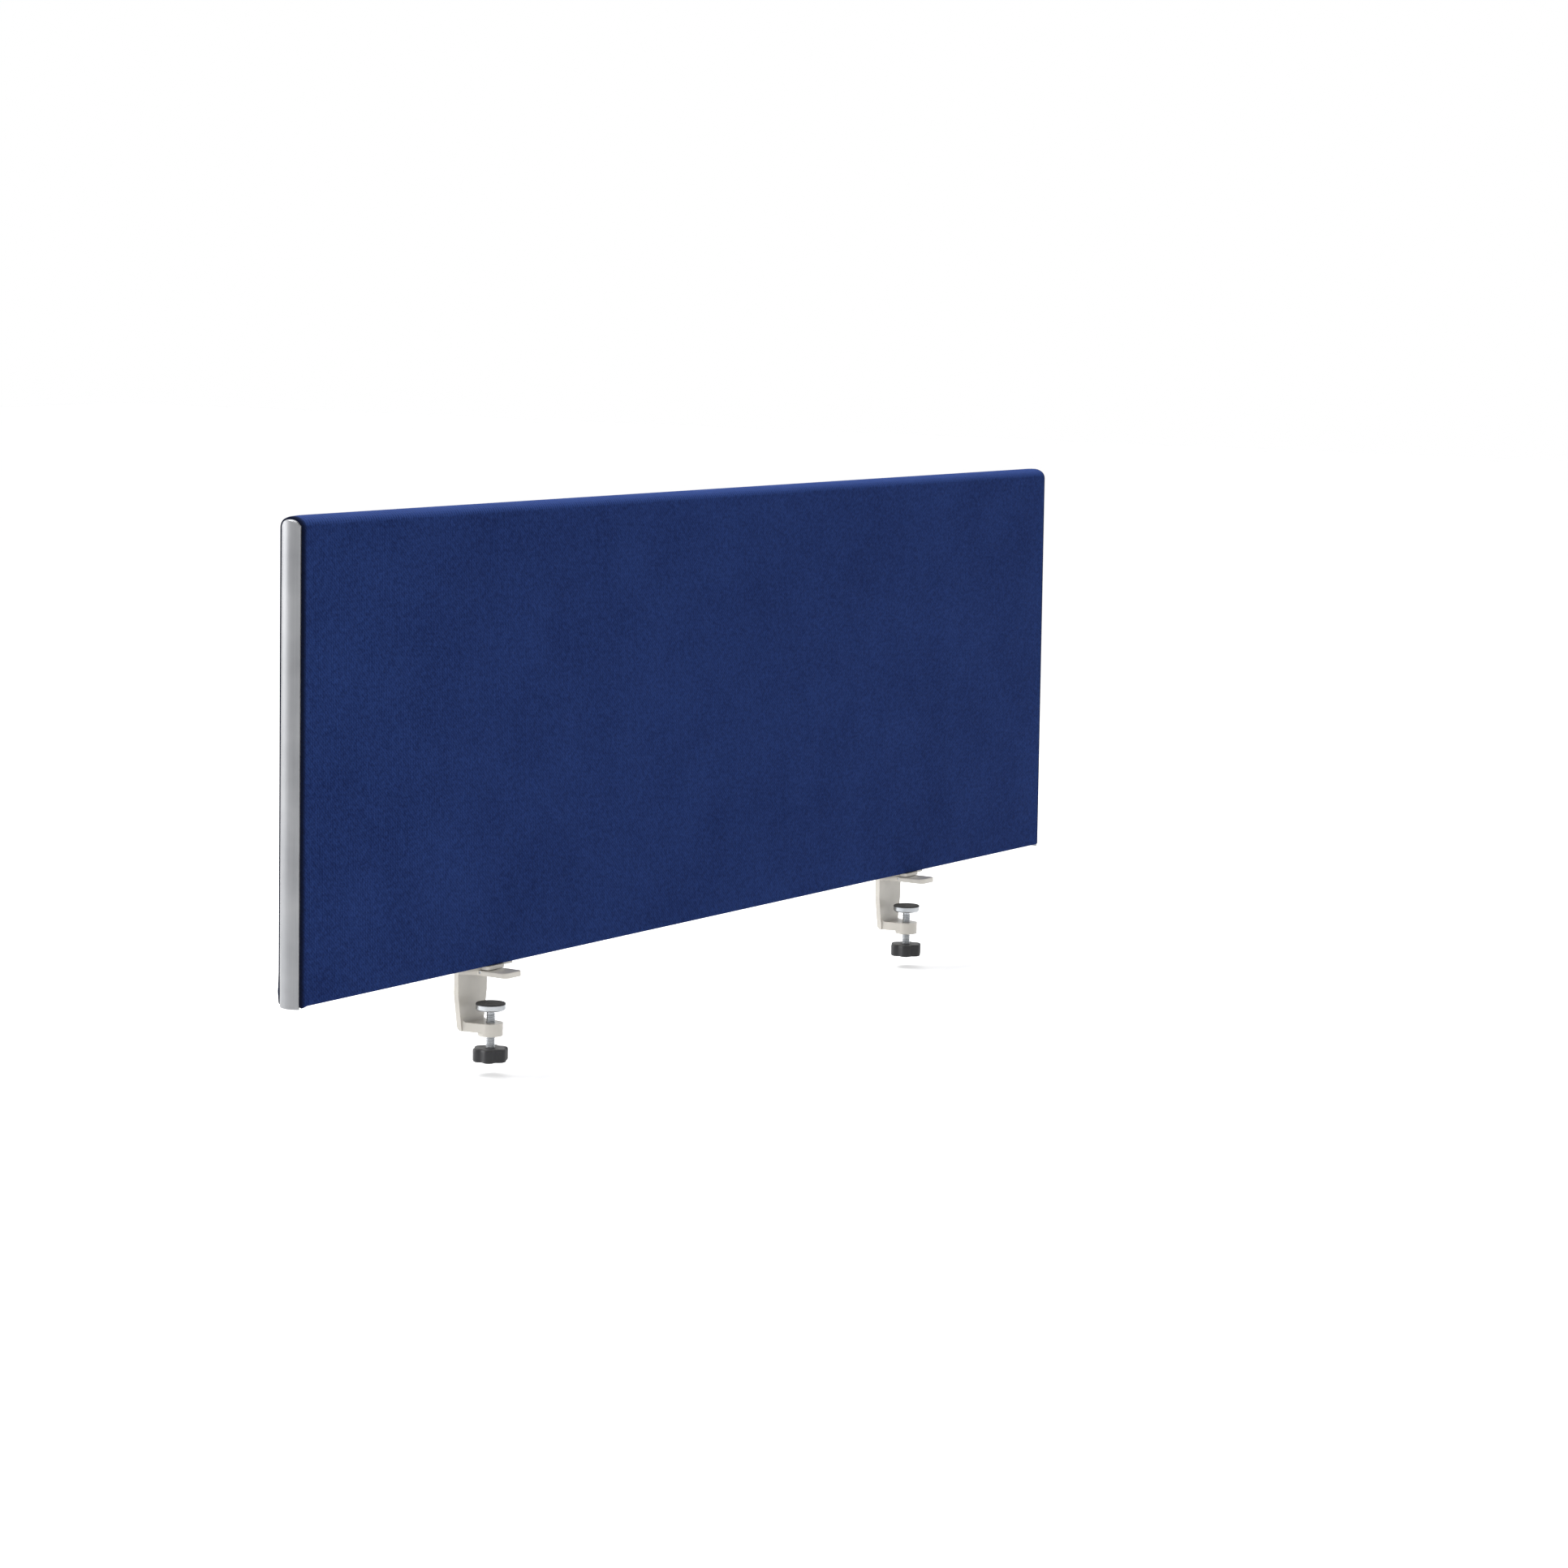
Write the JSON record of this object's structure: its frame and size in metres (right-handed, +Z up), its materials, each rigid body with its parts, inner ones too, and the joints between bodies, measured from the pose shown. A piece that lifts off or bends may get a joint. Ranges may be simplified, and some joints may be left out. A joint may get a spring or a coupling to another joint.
{
  "type": "desk privacy panel",
  "caption": "Straight fabric-covered desk privacy panel with a domed top edge, silver end trims and screw clamps that grip the edge of a desk top.",
  "frame": {"origin": "on the desk's top surface, at the desk's edge, at the middle of the panel's length", "axes": "+X along the panel to the right as the sitter sees it, +Y away from the sitter, +Z up"},
  "size_m": [1.2, 0.0545, 0.4848],
  "materials": {
    "softwood": "planed",
    "honeycomb": "raw paper",
    "hardboard": "smooth",
    "beech": "turned",
    "wadding": "soft",
    "blue_cloth": "crepe weave",
    "zinc_steel": "zinc plated",
    "spring_steel": "phosphated",
    "brass": "turned",
    "silver_trim": "satin anodised",
    "ivory_enamel": "satin",
    "grip_rubber": "matt",
    "black_plastic": "fine texture"
  },
  "bodies": {
    "panel": {"top_rail": "softwood", "bottom_rail": "softwood", "left_stile": "softwood", "middle_stile": "softwood", "right_stile": "softwood", "left_infill": "honeycomb", "right_infill": "honeycomb", "front_skin": "hardboard", "back_skin": "hardboard", "frame_dowels": "beech", "foam_wrap": "wadding", "fabric_cover": "blue_cloth", "cover_staples": "zinc_steel", "plate_screws": "zinc_steel", "jaw_bolts": "zinc_steel", "jaw_spacers": "zinc_steel", "lock_screws": "zinc_steel", "threaded_inserts": "brass", "left_trim": "silver_trim", "right_trim": "silver_trim", "left_plate": "ivory_enamel", "right_plate": "ivory_enamel", "left_clamp_frame": "ivory_enamel", "right_clamp_frame": "ivory_enamel", "left_jaw_rubber": "grip_rubber", "right_jaw_rubber": "grip_rubber"},
    "left_pad": {"left_pressure_pad": "zinc_steel", "left_pad_rubber": "grip_rubber"},
    "left_screw": {"left_clamp_screw": "zinc_steel", "left_knob": "black_plastic", "left_retaining_ring": "spring_steel"},
    "right_pad": {"right_pressure_pad": "zinc_steel", "right_pad_rubber": "grip_rubber"},
    "right_screw": {"right_clamp_screw": "zinc_steel", "right_knob": "black_plastic", "right_retaining_ring": "spring_steel"}
  },
  "joints": [
    {"name": "left_clamp_travel", "type": "slide", "parent": "panel", "child": "left_pad", "axis": [0, 0, 1], "range_m": [-0.01, 0.01]},
    {"name": "left_screw_turn", "type": "hinge", "parent": "left_pad", "child": "left_screw", "pos_m": [-0.34, -0.02, -0.0315], "axis": [0, 0, 1], "range_deg": [-2880, 2880]},
    {"name": "right_clamp_travel", "type": "slide", "parent": "panel", "child": "right_pad", "axis": [0, 0, 1], "range_m": [-0.01, 0.01]},
    {"name": "right_screw_turn", "type": "hinge", "parent": "right_pad", "child": "right_screw", "pos_m": [0.34, -0.02, -0.0315], "axis": [0, 0, 1], "range_deg": [-2880, 2880]}
  ],
  "couplings": [
    {"joint": "left_screw_turn", "follows": "left_clamp_travel", "rad_per_m": 5026.5},
    {"joint": "right_screw_turn", "follows": "right_clamp_travel", "rad_per_m": 5026.5}
  ]
}
